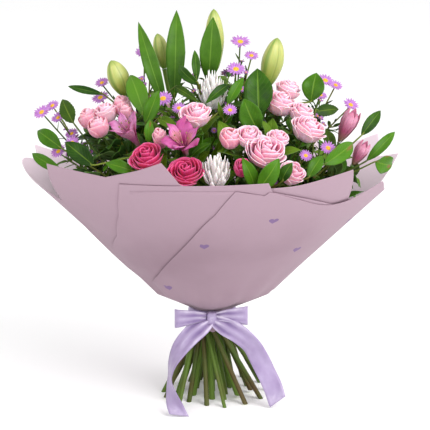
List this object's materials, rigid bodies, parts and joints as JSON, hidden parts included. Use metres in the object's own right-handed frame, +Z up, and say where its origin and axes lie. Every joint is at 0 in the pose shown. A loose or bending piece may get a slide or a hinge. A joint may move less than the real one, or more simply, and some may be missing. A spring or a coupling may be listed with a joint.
{
  "type": "mixed flower bouquet",
  "caption": "Hand-tied bouquet of lily buds, spray roses, chrysanthemums, alstroemeria, asters and foliage in wrapping paper with a ribbon bow; it stands on its spread stems.",
  "frame": {"origin": "centre of the cut end of the middle stem, on the surface that the bouquet stands on", "axes": "+Z up along the middle stem, -Y towards the front with the bow, +X to the right seen from the front"},
  "size_m": [0.4884, 0.4737, 0.5069],
  "materials": {
    "stem_and_leaf": "satin",
    "aster": "matte",
    "pink_rose": "matte",
    "hot_rose": "matte",
    "chrysanthemum": "matte",
    "alstroemeria": "satin",
    "lily_bud": "satin",
    "paper": "matte",
    "ribbon": "satin",
    "string": "matte"
  },
  "bodies": {
    "root": {"alstroemeria_flower_front": "alstroemeria", "alstroemeria_flower_left": "alstroemeria", "alstroemeria_flower_low_right": "alstroemeria", "alstroemeria_flower_right": "alstroemeria", "alstroemeria_front_stem": "stem_and_leaf", "alstroemeria_left_stem": "stem_and_leaf", "alstroemeria_right_stem": "stem_and_leaf", "aster_back_stem": "aster", "aster_front_stem": "aster", "aster_left_stem": "aster", "aster_middle_stem": "aster", "aster_right_stem": "aster", "aster_top_stem": "aster", "aster_upper_left_stem": "aster", "chrysanthemum_back_stem": "stem_and_leaf", "chrysanthemum_front_stem": "stem_and_leaf", "chrysanthemum_head_back": "chrysanthemum", "chrysanthemum_head_middle": "chrysanthemum", "chrysanthemum_heads_front": "chrysanthemum", "chrysanthemum_middle_stem": "stem_and_leaf", "foliage_back_left_stem": "stem_and_leaf", "foliage_back_right_stem": "stem_and_leaf", "foliage_centre_stem": "stem_and_leaf", "foliage_front_stem": "stem_and_leaf", "foliage_left_stem": "stem_and_leaf", "foliage_right_stem": "stem_and_leaf", "hot_rose_bloom_front": "hot_rose", "hot_rose_bloom_left": "hot_rose", "hot_rose_bloom_low": "hot_rose", "hot_rose_front_stem": "stem_and_leaf", "hot_rose_left_stem": "stem_and_leaf", "lily_bud_left": "lily_bud", "lily_bud_middle": "lily_bud", "lily_bud_middle_left": "lily_bud", "lily_bud_right": "lily_bud", "lily_left_stem": "stem_and_leaf", "lily_middle_left_stem": "stem_and_leaf", "lily_middle_stem": "stem_and_leaf", "lily_right_stem": "stem_and_leaf", "paper_back": "paper", "paper_centre": "paper", "paper_left": "paper", "paper_right": "paper", "pink_rose_back_left_stem": "stem_and_leaf", "pink_rose_back_right_stem": "stem_and_leaf", "pink_rose_bloom_low_right": "pink_rose", "pink_rose_bloom_middle": "pink_rose", "pink_rose_blooms_back_left": "pink_rose", "pink_rose_blooms_back_right": "pink_rose", "pink_rose_blooms_front": "pink_rose", "pink_rose_blooms_left": "pink_rose", "pink_rose_blooms_right": "pink_rose", "pink_rose_bud_middle": "pink_rose", "pink_rose_front_stem": "stem_and_leaf", "pink_rose_left_stem": "stem_and_leaf", "pink_rose_middle_stem": "stem_and_leaf", "pink_rose_right_stem": "stem_and_leaf", "pink_rose_upper_right_stem": "stem_and_leaf", "ribbon": "ribbon", "string_tie": "string"}
  },
  "joints": []
}
